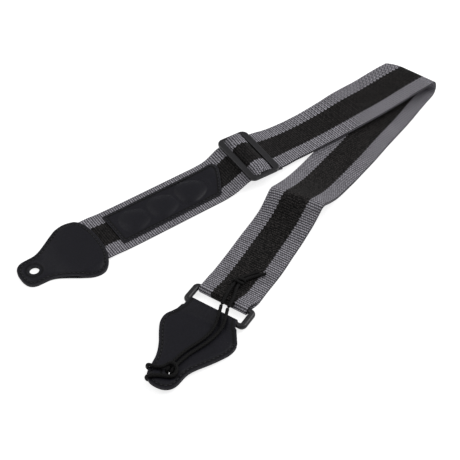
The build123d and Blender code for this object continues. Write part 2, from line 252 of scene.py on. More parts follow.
def webbing_material():
    g = Graph("webbing", Specular_IOR_Level=0.10, Sheen_Weight=0.02, Sheen_Roughness=0.5)
    along, across, face = g.attribute("along"), g.attribute("across"), g.attribute("face")
    place = g.attribute("place", "Vector")
    # As the slider moves, webbing is fed through it, so the weave is counted from where the cloth now lies.
    moved = g.math("SUBTRACT", g.times(g.x_of(g.coordinates()), 1 / MM), g.x_of(place))
    along = g.add(along, g.times(moved, g.attribute("feed")))
    rib = g.sine(g.times(along, 2 * pi / RIB))
    row = g.math("FLOOR", g.add(g.math("DIVIDE", along, RIB), 0.25))
    odd = g.times(g.math("MODULO", row, 2.0), pi)
    yarn = g.sine(g.add(g.times(across, 2 * pi / YARN), odd))
    fibre = g.noise(g.vector(g.times(across, 2.6), g.times(along, 1.1)), 1.0, 3.0, 0.65)
    reverse = g.ramp(face, 0.2, -0.2)
    # The outer face shows its ribs, and the reverse a finer, more broken weave.
    rib_share = g.math("SUBTRACT", 0.50, g.times(reverse, 0.12))
    yarn_share = g.add(0.32, g.times(reverse, 0.14))
    height = g.add(g.times(rib, rib_share), g.times(yarn, yarn_share))
    height = g.add(height, g.times(g.math("SUBTRACT", fibre, 0.5), 1.1))
    # Pairs of ribs and of yarns differ a little, in a larger check.
    pair = g.sine(g.times(along, pi / RIB))
    check = g.sine(g.times(across, 2 * pi / CHECK))
    check = g.times(pair, g.add(check, 0.5))
    loose = g.times(g.ramp(along, 190, 330, 0.13, 0.46), g.ramp(along, 560, 740, 1.0, 0.30))
    height = g.add(height, g.times(check, loose))
    # Painted light and shade: the weave's raised ribs and yarns are coloured lighter and its hollows darker, on top
    # of the bump.
    relief_shading = g.ramp(height, -0.45, 0.60)
    # Where the colours meet, the yarns step in and out from one pair of ribs to the next.
    edge = g.add(g.size(across), g.times(pair, 0.45))
    edge = g.add(edge, g.times(g.math("SUBTRACT", fibre, 0.5), 1.2))
    grey = g.ramp(edge, STRIPE - 0.1, STRIPE + 0.1)
    patchy = g.noise(place, 0.05, 2.0)
    uneven = g.ramp(g.noise(place, 0.44, 1.0, 0.6), 0.34, 0.66, 0.0, 1.0, "LINEAR")
    grey_colour = g.mix(relief_shading, (0.026, 0.025, 0.029), (0.400, 0.388, 0.428))
    grey_colour = g.mix(g.times(uneven, 0.42), grey_colour, (0.045, 0.043, 0.048))
    spots = g.vector(g.times(across, 0.85), g.times(along, 0.95))
    fleck = g.ramp(g.cells(spots, 1.0), 0.38, 0.20)
    # The second run is fuzzier, with more pale flecks of the grey weft showing.
    fleck = g.times(fleck, g.ramp(along, 560, 700, 0.30, 0.60))
    black_colour = g.mix(relief_shading, (0.0005, 0.0004, 0.0004), (0.0250, 0.0225, 0.0222))
    black_colour = g.mix(g.times(uneven, 0.85), black_colour, (0.0006, 0.0005, 0.0005))
    black_colour = g.mix(fleck, black_colour, (0.074, 0.066, 0.064))
    colour = g.mix(grey, black_colour, grey_colour)
    colour = g.mix(g.ramp(patchy, 0.35, 0.75, 0.0, 0.12), colour, (0.020, 0.020, 0.021))
    # Painted shade: the webbing's side walls, where |face| is small, are coloured near-black for the shadow under its
    # edges and between the plies.
    side_wall_shade = g.ramp(g.size(face), 0.30, 0.92, 0.82, 0.0)
    colour = g.mix(side_wall_shade, colour, (0.006, 0.006, 0.0065))
    rough = g.ramp(fibre, 0.2, 0.8, 0.66, 0.90)
    return g.finish(colour, rough, g.bump(height, 0.00016, 0.8))


def leather_material():
    g = Graph("leather", Specular_IOR_Level=0.16)
    place = g.attribute("place", "Vector")
    pores = g.cells(place, 0.9, "SMOOTH_F1")
    creases = g.noise(place, 0.405, 4.0, 0.62)
    cloud = g.noise(place, 0.035, 3.0)
    rim = g.attribute("rim")
    worn = g.times(g.ramp(rim, 1.1, 0.1), g.ramp(g.noise(place, 0.25, 3.0), 0.35, 0.65, 0.35, 1.0))
    colour = g.mix(cloud, (0.0060, 0.0058, 0.0092), (0.0090, 0.0086, 0.0132))
    colour = g.mix(g.ramp(pores, 0.1, 0.7, 0.5, 0.0), colour, (0.0040, 0.0039, 0.0052))
    colour = g.mix(worn, colour, (0.020, 0.019, 0.022))
    # Painted shade: the pressed groove along the stitching is coloured darker.
    groove_shade = g.ramp(g.size(g.math("SUBTRACT", rim, STITCH_IN)), 1.3, 0.4, 0.0, 0.85)
    colour = g.mix(groove_shade, colour, (0.0012, 0.0011, 0.0013))
    rough = g.ramp(creases, 0.25, 0.75, 0.38, 0.54)
    height = g.add(g.times(pores, 0.7), g.times(creases, 0.6))
    return g.finish(colour, rough, g.bump(height, 0.00007, 0.8))


def thread_material():
    g = Graph("thread", Specular_IOR_Level=0.2)
    along, around = g.attribute("along"), g.attribute("around")
    twist = g.sine(g.add(g.times(along, 2 * pi / 0.55), around))
    colour = g.mix(g.ramp(twist, -1.0, 1.0), (0.005, 0.005, 0.0055), (0.034, 0.033, 0.037))
    return g.finish(colour, g.ramp(twist, -1.0, 1.0, 0.7, 0.5), g.bump(twist, 0.00005, 0.6))


def plastic_material():
    g = Graph("plastic", Specular_IOR_Level=0.36)
    coordinates = g.coordinates()
    cloud = g.noise(coordinates, 60.0, 3.0)
    grain = g.noise(coordinates, 2600.0, 2.0)
    scuffs = g.noise(coordinates, 420.0, 5.0, 0.7)
    colour = g.mix(cloud, (0.0080, 0.0076, 0.0092), (0.0140, 0.0135, 0.0155))
    colour = g.mix(g.ramp(scuffs, 0.58, 0.78, 0.0, 0.5), colour, (0.038, 0.038, 0.040))
    rough = g.ramp(scuffs, 0.3, 0.75, 0.30, 0.48)
    return g.finish(colour, rough, g.bump(grain, 0.00002, 0.5))


def lace_material():
    g = Graph("lace", Specular_IOR_Level=0.14)
    weave, fibre = g.attribute("weave"), g.noise(g.attribute("place", "Vector"), 3.0, 3.0, 0.7)
    # Painted light and shade: the braid's crests are coloured lighter and the grooves between its strands darker.
    relief_shading = g.add(g.times(weave, 0.75), g.times(fibre, 0.25))
    colour = g.mix(g.ramp(relief_shading, 0.2, 0.95), (0.0008, 0.0007, 0.0008), (0.0062, 0.0058, 0.0060))
    return g.finish(colour, g.ramp(fibre, 0.3, 0.7, 0.6, 0.85), g.bump(fibre, 0.00008, 0.6))


WEBBING, LEATHER, THREAD = webbing_material(), leather_material(), thread_material()
PLASTIC, LACE = plastic_material(), lace_material()


# ---- lace
LACE_R, KNOT_R = 1.4, 1.25
BRAID_PITCH = 3.2
ON_TAB = 2 * LEATHER_T + LEATHER_GAP + CROWN + LACE_R + 0.05  # a lace lying on tab B, above its underside
UNDER_TAB = -LACE_R - 0.1
by_ring = ring_floor.at  # a point from the ring's upper bar, with its height above the floor
by_tab = tab_b_plane.at  # a point from tab B's hole, with its height above the tab's underside


def route_line(route):
    """The smooth line that a cord takes: a NURBS spline with the route's points as its control points."""
    data = bpy.data.curves.new("route", "CURVE")
    data.dimensions = "3D"
    spline = data.splines.new("NURBS")
    spline.points.add(len(route) - 1)
    for point, spot in zip(spline.points, route):
        point.co = (*(spot * MM), 1)
    spline.order_u = 3
    spline.use_endpoint_u = True
    spline.resolution_u = 24
    carrier = bpy.data.objects.new("route", data)
    mesh = bpy.data.meshes.new_from_object(carrier)
    line = np.array([v.co for v in mesh.vertices], float) / MM
    bpy.data.objects.remove(carrier)
    bpy.data.curves.remove(data)
    bpy.data.meshes.remove(mesh)
    return line


def distances(line):
    """How far along a line each of its points is."""
    return np.concatenate([[0], np.cumsum(np.linalg.norm(np.diff(line, axis=0), axis=1))])


def at_marks(line, marks):
    """The points of a line at the given distances along it."""
    length = distances(line)
    return np.stack([np.interp(marks, length, line[:, k]) for k in range(line.shape[1])], axis=1)


def even(line, step):
    """The same line with its points an even step apart, and their distances along it."""
    whole = distances(line)[-1]
    marks = np.linspace(0, whole, max(2, round(whole / step)))
    return at_marks(line, marks), marks


def tube(name, line, radius):
    """A braided round cord along a line, with domed ends."""
    sides = 22
    spots, marks = even(line, 0.35)
    ways = unit(np.gradient(spots, axis=0))
    normal = unit(np.cross(ways[0], [0.3, 0.2, 1.0]))
    rings, weaves = [], []
    angles = np.arange(sides) * 2 * pi / sides
    for spot, way, mark in zip(spots, ways, marks):
        normal = unit(normal - way * np.dot(normal, way))
        other = np.cross(way, normal)
        wave = 2 * pi * mark / BRAID_PITCH
        weave = np.maximum(np.cos(4 * angles + wave), np.cos(4 * angles - wave))
        end = min(mark, marks[-1] - mark)
        dome = min(1.0, (1 - (1 - min(end / radius, 1)) ** 2) ** 0.5 + 0.08)
        reach = radius * dome * (0.955 + 0.045 * weave)
        rings.append(spot + reach[:, None] * (np.cos(angles)[:, None] * normal + np.sin(angles)[:, None] * other))
        weaves.append((weave + 1) / 2)
    count = len(rings)
    verts = np.concatenate([*rings, spots[:1], spots[-1:]])
    faces = skin(count, sides)[:, [0, 3, 2, 1]].tolist()
    first, last = count * sides, count * sides + 1
    for k in range(sides):
        n = (k + 1) % sides
        faces.append((first, n, k))
        faces.append((last, (count - 1) * sides + k, (count - 1) * sides + n))
    weave = np.concatenate([*weaves, [0.5, 0.5]])
    return make_object(name, verts, faces, LACE, weave=weave)


# Doubled over tab B, threaded through the hole, round the edge and hitched over itself.
hitch_route = [
    by_ring(-9.3, -3.6, 8.9), by_ring(-16.5, -6.6, 9.8), by_tab(53.8, -9.2, 5.6), by_tab(45, -9.0, ON_TAB),
    by_tab(36, -6.7, ON_TAB), by_tab(28, -3.4, ON_TAB), by_tab(20, -0.6, ON_TAB), by_tab(12, 1.2, ON_TAB),
    by_tab(6.2, 1.9, ON_TAB), by_tab(0.4, 1.75, ON_TAB), by_tab(0.1, 1.9, UNDER_TAB), by_tab(-1.0, 9, UNDER_TAB),
    by_tab(-2.4, 17.4, UNDER_TAB), by_tab(-2.5, 17.3, ON_TAB), by_tab(-1.9, 12.0, ON_TAB),
    by_tab(-0.4, 7.2, ON_TAB + 0.2), by_tab(2.4, 4.2, ON_TAB + 1.0), by_tab(5.6, 2.0, ON_TAB + 3.1),
    by_tab(5.8, -2.8, ON_TAB + 3.1), by_tab(2.0, -5.8, ON_TAB + 0.7), by_tab(-3.0, -4.8, ON_TAB),
    by_tab(-5.2, 0.4, ON_TAB), by_tab(-7.2, 5.2, ON_TAB), by_tab(-11.6, 12.4, ON_TAB), by_tab(-11.5, 12.5, UNDER_TAB),
    by_tab(-8.2, 7.4, UNDER_TAB), by_tab(-4.6, 1.8, UNDER_TAB), by_tab(0.2, -1.9, UNDER_TAB),
    by_tab(0.5, -1.75, ON_TAB), by_tab(6.2, -1.7, ON_TAB), by_tab(12.5, -3.0, ON_TAB), by_tab(21, -5.2, ON_TAB),
    by_tab(30, -9.0, ON_TAB), by_tab(39, -12.4, ON_TAB), by_tab(49, -14.2, ON_TAB), by_tab(56, -14.8, 6.2),
    by_ring(-16.7, -12.6, 9.8), by_ring(-9.4, -9.6, 8.9),
]

# Both ends run on over the ring, through the knot, and lie loose on the webbing.
left_route = [
    by_ring(-8.7, -3.6, 8.9), by_ring(-1.5, -2.4, 9.8), by_ring(5.3, -1.2, 9.4), by_ring(11.7, -0.7, 8.8),
    by_ring(18.5, -0.6, 8.2), by_ring(25.1, -2.0, 6.6), by_ring(31.7, -5.6, 5.5), by_ring(37.3, -10.0, 5.8),
]
right_route = [
    by_ring(-8.8, -9.6, 8.9), by_ring(-1.7, -8.8, 9.8), by_ring(4.7, -7.2, 9.4), by_ring(11.3, -4.4, 8.8),
    by_ring(18.3, -3.8, 8.2), by_ring(25.3, -5.6, 6.6), by_ring(31.3, -9.2, 5.7), by_ring(36.7, -13.6, 6.0),
    by_ring(38.6, -15.9, 6.1),
]

hitch_line = route_line(hitch_route)
left_line = route_line(left_route)
right_line = route_line(right_route)

hitch = tube("cord_hitch", hitch_line, LACE_R)
left = tube("cord_left", left_line, LACE_R)
right = tube("cord_right", right_line, LACE_R)

# The two ends are tied together in one overhand knot: a turn and a half round both of them.
knot_turns = []
for i in range(22):
    angle, way = radians(-150 + 38 * i), i / 21
    reach = 1.0 - 0.10 * way
    x = 15.0 + 6.4 * way + 0.8 * sin(2.3 * angle)
    knot_turns.append(by_ring(x, -2.25 + (4.1 * cos(angle)) * reach, 8.3 + (2.35 * sin(angle)) * reach))
knot = tube("cord_knot", route_line(knot_turns), KNOT_R)

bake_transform(hitch)
for piece in (left, right):
    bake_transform(piece)
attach(knot, "strap_end")
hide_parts("lace_hitch")
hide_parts("lace_left")
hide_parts("lace_right")
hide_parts("lace_knot")

# ---- webbing
WEB_W, WEB_T, LAYER = 50.0, 1.5, 1.6
HALF = WEB_W / 2
edge_lanes = np.array([0.0, 0.35, 0.75, 1.2]) / HALF  # how far in from the edge, where the edge is rounded
LANES = np.concatenate([edge_lanes - 1, np.linspace(-0.91, 0.91, 21), 1 - edge_lanes[::-1]])
ROW_STEP = 0.52  # how far apart the rows of points lie along the webbing


def heights(points, blur=2.2):
    """A smooth height along a run through given (distance, height) pairs."""
    known, step = np.array(points, float), 0.4
    x = np.arange(known[0, 0] - 15, known[-1, 0] + 15, step)
    z = np.interp(x, known[:, 0], known[:, 1])
    reach = np.arange(-3 * blur, 3 * blur + step, step)
    weight = np.exp(-0.5 * (reach / blur) ** 2)
    padded = np.pad(z, len(reach) // 2, mode="edge")
    z = np.convolve(padded, weight / weight.sum(), "valid")[: len(x)]
    return lambda at: np.interp(at, x, z)


def surface(far, near, blur=2.2):
    """Top height across the webbing, from its far and near edges; lane is -1 at the near edge and 1 at the far."""
    far_edge, near_edge = heights(far, blur), heights(near, blur)
    return lambda x, lane: far_edge(x) * (1 + lane) / 2 + near_edge(x) * (1 - lane) / 2


front_far = [
    (20, 3.0), (62, 3.0), (72, 1.9), (90, 1.6), (172, 1.7), (181, 2.4), (188, 4.7), (193, 7.4), (198, 9.6),
    (202, 10.2), (210, 10.2),
]
front_near = [
    (20, 3.0), (62, 3.0), (72, 1.9), (90, 1.6), (172, 1.7), (181, 2.9), (188, 5.0), (194, 7.2), (199, 9.2),
    (203, 10.1), (210, 10.2),
]
back_far = [
    (215, 10.2), (231, 10.2), (236, 9.6), (242, 8.3), (249, 6.4), (258, 5.3), (274, 4.6), (290, 5.1),
    (305, 6.7), (319, 8.7), (328, 10.6), (342, 11.8), (360, 12.5), (375, 14.6), (390, 16.3), (410, 16.6),
]
back_near = [
    (215, 10.2), (229, 10.1), (235, 8.9), (242, 8.1), (252, 7.8), (266, 7.6), (286, 7.9), (301, 8.2),
    (316, 8.8), (331, 9.5), (346, 10.2), (362, 11.4), (377, 13.2), (393, 15.6), (408, 17.2), (425, 17.6),
]
second_far = [
    (0, 5.0), (16, 4.2), (30, 3.3), (50, 3.3), (62, 3.5), (72, 3.8), (81, 5.0), (88, 7.6), (92.8, 9.8),
    (99, 15.8), (103, 20.2), (107, 24.4), (111, 23.6), (117, 20.6), (124, 17.6), (132, 13.8), (141, 10.4),
    (148, 8.2), (157, 6.0), (163, 5.0), (175, 3.8), (184, 3.3), (345, 3.3),
]
second_near = [
    (0, 3.4), (12, 3.2), (22, 3.8), (34, 4.0), (49, 5.0), (60, 6.4), (70, 7.4), (79.5, 9.4), (88, 14.0),
    (94, 17.6), (99.6, 21.6), (104, 25.2), (107.5, 28.9), (112.5, 29.8), (116, 27.8), (120, 25.2), (127, 20.8),
    (134, 16.8), (140, 13.6), (151, 9.4), (162, 6.8), (173, 4.5), (184, 3.3), (345, 3.3),
]
second_bow = [
    (0, 0.0), (15, 0.1), (30, 0.3), (40, 0.5), (52, 1.1), (64, 2.1), (76, 2.6), (90, 1.9), (100, 1.1),
    (110, 0.8), (120, 1.1), (130, 2.1), (140, 2.9), (150, 3.6), (163, 4.0), (184, 4.1), (195, 3.4), (207, 2.7),
    (235, 2.2), (250, 1.5), (265, 0.8), (280, 0.4), (297, 0.6), (308, 0.5), (320, 0.0), (345, 0.0),
]

front_top = surface(front_far, front_near)
back_top = surface(back_far, back_near, 3.0)
second_top = surface(second_far, second_near, 2.0)
bow = heights(second_bow, 5.0)  # how far the second run bends to its far side

TURN_IN, TURN_OUT = (184, 203), (229, 252)  # where the webbing turns with the slider, and turns back
SPREAD = 1.03  # the slider spreads the webbing a little


def askew(s):
    """How far the webbing has turned with the slider at s."""
    return smooth(s, *TURN_IN) * (1 - smooth(s, *TURN_OUT))


def on_run_1(s, lane, z):
    s, lane, z = np.broadcast_arrays(s, lane, z)
    straight, turned = run_1.at(s, HALF * lane, z), slider_floor.at(s - SLIDER_X, SPREAD * HALF * lane, z)
    return straight + askew(s)[..., None] * (turned - straight)


BAR_SHARE, BAR_ASIDE = 0.885, 0.4  # how much the webbing is drawn in at the ring's bar, and how far it lies aside


def on_run_2(x, lane, z):
    """Near the ring the webbing narrows and lines up with the ring's bar."""
    x, lane, z = np.broadcast_arrays(x, lane, z)
    half = HALF * (BAR_SHARE + 0.07 * smooth(x, 1.5, 14) + 0.045 * smooth(x, 14, 60))
    aside = BAR_ASIDE + 1.1 * smooth(x, 1, 13)
    straight, turned = run_2.at(x, half * lane + bow(x), z), ring_floor.at(x, half * lane - aside, z)
    return turned + smooth(x, 0, 36)[..., None] * (straight - turned)


def normals(grid):
    """The unit normals of a grid of points: along crossed with across."""
    return unit(np.cross(np.gradient(grid, axis=0), np.gradient(grid, axis=1)))


def slab(name, grid, offset, feed=1.0):
    """Webbing of its real thickness round a grid of points (along, lane) through its middle.

    Its ribs swell and draw in the cloth a little, at the edges too. offset is where it starts along the strap,
    and feed is which way its weave runs on as the slider moves. The second value returned is where it ends.
    """
    count, lane_count = len(grid), len(LANES)
    ring = 2 * lane_count - 2
    width = LANES * HALF
    rounding = np.clip((np.abs(width) - (HALF - WEB_T / 2)) / (WEB_T / 2), 0, 1)
    half = WEB_T / 2 * np.sqrt(1 - rounding**2)
    along = offset + distances(grid[:, lane_count // 2])
    rib = np.sin(2 * pi * along / RIB)[:, None]
    out = normals(grid)
    outward = unit(np.gradient(grid, axis=1)) * (np.sign(LANES) * smooth(np.abs(LANES), 0.94, 1.0))[None, :, None]
    body = grid + outward * (0.13 * rib)[..., None]
    swell = (half[None] * (0.93 + 0.10 * rib))[..., None]
    top, bottom = body + out * swell, body - out * swell
    verts = np.concatenate([top, bottom[:, -2:0:-1]], axis=1).reshape(-1, 3)
    tilt = half[1:-1] / half.max()  # 1 on the flat, and 0 at the very edge
    faces = skin(count, ring).tolist()
    back = (ring - np.arange(lane_count)) % ring
    back[-1] = lane_count - 1
    for base, turn in ((0, 1), ((count - 1) * ring, -1)):
        for j in range(lane_count - 1):
            corners = dict.fromkeys(int(c) for c in (j, j + 1, back[j + 1], back[j]))
            faces.append([base + c for c in corners][::turn])
    obj = make_object(
        name,
        verts,
        faces,
        WEBBING,
        along=np.repeat(along, ring),
        across=np.tile(np.concatenate([width, width[-2:0:-1]]), count),
        face=np.tile(np.concatenate([[0], tilt, [0], -tilt]), count),
        feed=np.full(count * ring, feed),
    )
    return obj, along[-1]


def lanes_between(low, high):
    """Stations from low to high for every lane, which may start and end at different places."""
    low, high = np.broadcast_arrays(np.asarray(low, float), np.asarray(high, float))
    count = int(np.max(np.abs(high - low)) / ROW_STEP) + 2
    share = np.linspace(0, 1, count)[:, None]
    return low + share * (high - low) + 0 * LANES


# The front: from inside tab A to the slider, and over its middle bar.
FOOT_Z, WRAP_RISE, WRAP_HALF = 9.45, 6.5, 8.95  # the swell's foot and its rise, and half its length


def wrap_height(x, lane):
    """The middle of the webbing's thickness where it swells up through the slider's window."""
    dome = np.clip(1 - (np.abs(x) / WRAP_HALF) ** 2.4, 0, 1) ** 0.6
    return FOOT_Z + (WRAP_RISE + 1.3 * smooth(lane, 0.1, 1.0) - 2.8 * smooth(-lane, 0.7, 1.0)) * dome


FRONT_S, FRONT_ALONG = 30.0, 6.0  # where it starts inside tab A, and its weave's count there
JOIN_S = 226.4  # under the slider's back bar
s = lanes_between(FRONT_S, JOIN_S)
front_z = np.where(s < TURN_IN[1], front_top(s, LANES) - WEB_T / 2, wrap_height(s - SLIDER_X, LANES))
under_bar = (s > 196) & (s < 205)  # under the slider's front bar it stays as low as the swell's foot
front_z = np.where(under_bar, np.minimum(front_z, FOOT_Z + 0.02), front_z)
front_grid = on_run_1(s, LANES, front_z)
front, front_end = slab("webbing_front", front_grid, FRONT_ALONG)

# The back: both plies from the slider towards the fold, and the inner ply's end sewn round the middle bar.
PART_S = 310.0  # where the next piece takes over
s = lanes_between(JOIN_S, PART_S)
upper_grid = on_run_1(s, LANES, back_top(s, LANES) - WEB_T / 2)
LOWER_SHARE = 0.985  # the lower ply is drawn in a little
s_low = lanes_between(222.9, PART_S)
above = on_run_1(s_low, LOWER_SHARE * LANES, back_top(s_low, LANES) - WEB_T / 2)
under_grid = above - LAYER * normals(above)

END_R = 2.4  # from the middle bar's axis to the middle of the sewn end's thickness
arc = np.radians(np.linspace(60, 240, 22))
turn_x, turn_z = END_R * np.cos(arc), SLIDER_Z + END_R * np.sin(arc)
rise = np.linspace(0, 1, 14)[1:-1]
foot_x, foot_top, foot_low = 8.3, 7.85, 6.3  # where the sewn end leaves the plies, and comes back to them
first_x, first_z = foot_x + (turn_x[0] - foot_x) * rise, foot_top + (turn_z[0] - foot_top) * rise
last_x, last_z = turn_x[-1] + (foot_x - turn_x[-1]) * rise, turn_z[-1] + (foot_low - turn_z[-1]) * rise
bar_x, bar_z = np.concatenate([first_x, turn_x, last_x]), np.concatenate([first_z, turn_z, last_z])
bar_grid = slider_floor.at(bar_x[:, None], HALF * LANES[None] * LOWER_SHARE, bar_z[:, None])
tail_rows = int(13.0 / ROW_STEP)  # the sewn end is 13 mm long, and lies 1.55 mm under the lower ply
tail = (under_grid - 1.55 * normals(under_grid))[:tail_rows]
lower_grid = np.concatenate([under_grid[::-1], bar_grid, tail])

# The long piece: outer ply, round the fold, back to the ring, round its bar, and the inner ply home again.
CREASE_S, CREASE_YAW = 408.9, radians(14.4)
crease_out = np.array([cos(CREASE_YAW), sin(CREASE_YAW), 0.0])
corner_round = 5.0 * np.clip((LANES - 0.45) / 0.55, 0, 1) ** 2  # the far corner of the fold is worn round
crease_s = CREASE_S - HALF * LANES * tan(CREASE_YAW) - corner_round
crease_along = np.array([-sin(CREASE_YAW), cos(CREASE_YAW), 0.0])
crease_spot = run_1.at(CREASE_S, 0, 0)
reach = (HALF * LANES - np.dot(crease_spot - run_2.origin, run_2.y_dir)) / np.dot(crease_along, run_2.y_dir)
crease_x = (crease_spot + reach[:, None] * crease_along - run_2.origin) @ run_2.x_dir - corner_round

s = lanes_between(PART_S, crease_s)
outer_run = on_run_1(s, LANES, back_top(s, LANES) - WEB_T / 2)
inner_run = outer_run - LAYER * normals(outer_run)
x = lanes_between(0.0, crease_x)
second_z = second_top(x, LANES) - WEB_T / 2
LOOP_R = 3.06  # from the ring bar's axis to the middle of the webbing's thickness
second_z = (BAR_Z + LOOP_R) + smooth(x, 0, 21) * (second_z - BAR_Z - LOOP_R)
over = on_run_2(x, LANES, second_z)
beneath = over - LAYER * normals(over)
lowest = on_run_2(x, LANES, BAR_Z - LOOP_R + 0 * x)
beneath = lowest + smooth(x, 2, 26)[..., None] * (beneath - lowest)


def turn(top, bottom, out, radius):
    """Half a turn from the top row of points down to the bottom row, bulging out by radius."""
    rows = []
    for angle in np.linspace(pi / 2, -pi / 2, 26)[1:-1]:
        share = (1 - sin(angle)) / 2
        row = top + (bottom - top) * share + out * radius * cos(angle)
        row[:, 2] = (top[:, 2] + bottom[:, 2]) / 2 + (top[:, 2] - bottom[:, 2]) / 2 * sin(angle)
        rows.append(row)
    return np.array(rows)


around_bar = np.radians(np.linspace(-90, -270, 26))[1:-1, None]
bar_loop = ring_floor.at(
    LOOP_R * np.cos(around_bar), HALF * BAR_SHARE * LANES[None] - BAR_ASIDE, BAR_Z + LOOP_R * np.sin(around_bar)
)
OUTER_R, INNER_R = 7.5, 5.9  # how far each ply bulges out at the fold
outer_turn = turn(outer_run[-1], beneath[-1], crease_out, OUTER_R)
inner_turn = turn(inner_run[-1], over[-1], crease_out, INNER_R)[::-1]
long_grid = np.concatenate([outer_run, outer_turn, beneath[::-1], bar_loop, over, inner_turn, inner_run[::-1]])

back, back_end = slab("webbing_back", upper_grid, front_end)
long_piece, long_end = slab("webbing_long", long_grid, back_end, 0.0)
sewn, sewn_end = slab("webbing_sewn_end", lower_grid, long_end, -1.0)

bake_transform(front)
for piece in (back, sewn):
    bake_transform(piece)
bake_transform(long_piece)
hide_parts("webbing_tab_end", "webbing_slider_wrap")
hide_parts("webbing_run_1_upper")
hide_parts("webbing_run_1_lower", "webbing_end_loop")
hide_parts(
    "webbing_fold_outer",
    "webbing_fold_inner",
    "webbing_run_2_lower",
    "webbing_run_2_upper",
    "webbing_ring_loop",
)


# ---- leather
def between(a, b, start, end, t):
    return a + (b - a) * (t - start) / (end - start)


def rounded(points):
    """A smooth line through points, evenly stepped (a centripetal Catmull-Rom spline)."""
    known = np.array(points, float)
    ends = [2 * known[0] - known[1], *known, 2 * known[-1] - known[-2]]
    knots = np.concatenate([[0], np.cumsum(np.linalg.norm(np.diff(ends, axis=0), axis=1) ** 0.5)])
    out = []
    for i in range(1, len(ends) - 2):
        t0, t1, t2, t3 = knots[i - 1 : i + 3]
        for t in np.linspace(t1, t2, 12, endpoint=False):
            a1 = between(ends[i - 1], ends[i], t0, t1, t)
            a2 = between(ends[i], ends[i + 1], t1, t2, t)
            a3 = between(ends[i + 1], ends[i + 2], t2, t3, t)
            out.append(between(between(a1, a2, t0, t2, t), between(a2, a3, t1, t3, t), t1, t2, t))
    out.append(known[-1])
    return spaced(np.array(out), 0.7)


def spaced(line, step):
    """The same line cut into equal parts, each about one step long."""
    whole = distances(line)[-1]
    return at_marks(line, np.linspace(0, whole, max(2, round(whole / step) + 1)))


def mirrored(half_line):
    """A closed outline from the half with y above 0, going anticlockwise."""
    lower = half_line[::-1] * [1, -1]
    whole = np.concatenate([half_line, lower[1:-1]])
    area = np.sum(whole[:, 0] * np.roll(whole[:, 1], -1) - whole[:, 1] * np.roll(whole[:, 0], -1))
    return whole if area > 0 else whole[::-1]


def inset(loop, amount):
    """An outline moved in by an amount, or out where it is negative."""
    way = unit(np.roll(loop, -1, axis=0) - np.roll(loop, 1, axis=0))
    return loop + amount * np.stack([-way[:, 1], way[:, 0]], axis=1)


def distance_to(points, loops):
    """How far each point lies from the nearest outline."""
    best, chunk = np.full(len(points), 1e9), 2000
    for loop in loops:
        a, b = loop, np.roll(loop, -1, axis=0)
        ab = b - a
        size = (ab**2).sum(1)
        for first in range(0, len(points), chunk):
            p = points[first : first + chunk, None]
            t = np.clip(((p - a) * ab).sum(2) / size, 0, 1)
            gap = np.linalg.norm(p - a - t[..., None] * ab, axis=2).min(1)
            best[first : first + chunk] = np.minimum(best[first : first + chunk], gap)
    return best


def inside(points, loop):
    """Which points lie inside an outline."""
    x, y = points[:, :1], points[:, 1:]
    ax, ay = loop[:, 0], loop[:, 1]
    bx, by = np.roll(ax, -1), np.roll(ay, -1)
    crosses = (ay > y) != (by > y)
    with np.errstate(divide="ignore", invalid="ignore"):
        at = ax + (y - ay) * (bx - ax) / (by - ay)
    return (crosses & (x < at)).sum(1) % 2 == 1


def plate(name, outline, holes, place, thickness=LEATHER_T, spacing=1.7, relief=None, edge=None):
    """A sheet of leather cut to an outline, with rounded edges.

    place(x, y, h) gives the point h above its middle, relief(x, y, depth) how far its face is raised, and edge
    how far in the rounding reaches.
    """
    loops = [outline] + holes
    edge = edge or thickness / 2
    points = [outline, *holes]
    for depth in (0.12, 0.35, 0.7, 1.0):  # lines of points where the edge rounds over
        points.append(inset(outline, depth * edge))
        points += [inset(hole, -depth * edge) for hole in holes]
    (x0, y0), (x1, y1) = outline.min(0), outline.max(0)
    columns = np.arange(x0, x1, spacing)
    rows = np.arange(y0, y1, spacing * 0.87)
    grid = np.array([(x + (k % 2) * spacing / 2, y) for k, y in enumerate(rows) for x in columns])
    grid = grid[inside(grid, outline)]
    grid = grid[distance_to(grid, loops) > 1.5 * edge]
    for hole in holes:
        grid = grid[~inside(grid, hole)]
    points = np.concatenate([*points, grid])
    edges, first = [], 0
    for loop in loops:
        n = len(loop)
        edges += [(first + k, first + (k + 1) % n) for k in range(n)]
        first += n
    flat, _, triangles, *_ = delaunay_2d_cdt([Vector(p) for p in points], edges, [], 1, 1e-6)
    flat = np.array([tuple(v) for v in flat], float)
    triangles = np.array([t for t in triangles if len(t) == 3])
    middle = flat[triangles].mean(1)
    keep = inside(middle, outline)
    for hole in holes:
        keep &= ~inside(middle, hole)
    triangles = triangles[keep]
    used = np.unique(triangles)
    remap = -np.ones(len(flat), int)
    remap[used] = np.arange(len(used))
    flat, triangles = flat[used], remap[triangles]
    a, b, c = (flat[triangles[:, k]] for k in range(3))
    flipped = (b[:, 0] - a[:, 0]) * (c[:, 1] - a[:, 1]) - (b[:, 1] - a[:, 1]) * (c[:, 0] - a[:, 0]) < 0
    triangles[flipped] = triangles[flipped][:, ::-1]
    depth = distance_to(flat, loops)
    rim = depth < 1e-4
    height = thickness / 2 * np.sqrt(np.clip(1 - (1 - np.minimum(depth / edge, 1)) ** 2, 0, 1))
    x, y = flat.T
    raised = relief(x, y, depth) if relief else 0 * height
    upper, lower = place(x, y, height + raised * (height > 0)), place(x, y, -height)
    count = len(flat)
    below = np.where(rim, np.arange(count), np.cumsum(~rim) - 1 + count)  # the two faces share the rim's points
    verts = np.concatenate([upper, lower[~rim]])
    faces = triangles.tolist() + below[triangles][:, ::-1].tolist()
    obj = make_object(name, verts, faces, LEATHER, rim=np.concatenate([depth, depth[~rim]]))
    return obj


def circle(radius):
    angle = np.arange(40) * 2 * pi / 40
    return np.stack([radius * np.cos(angle), radius * np.sin(angle)], axis=1)


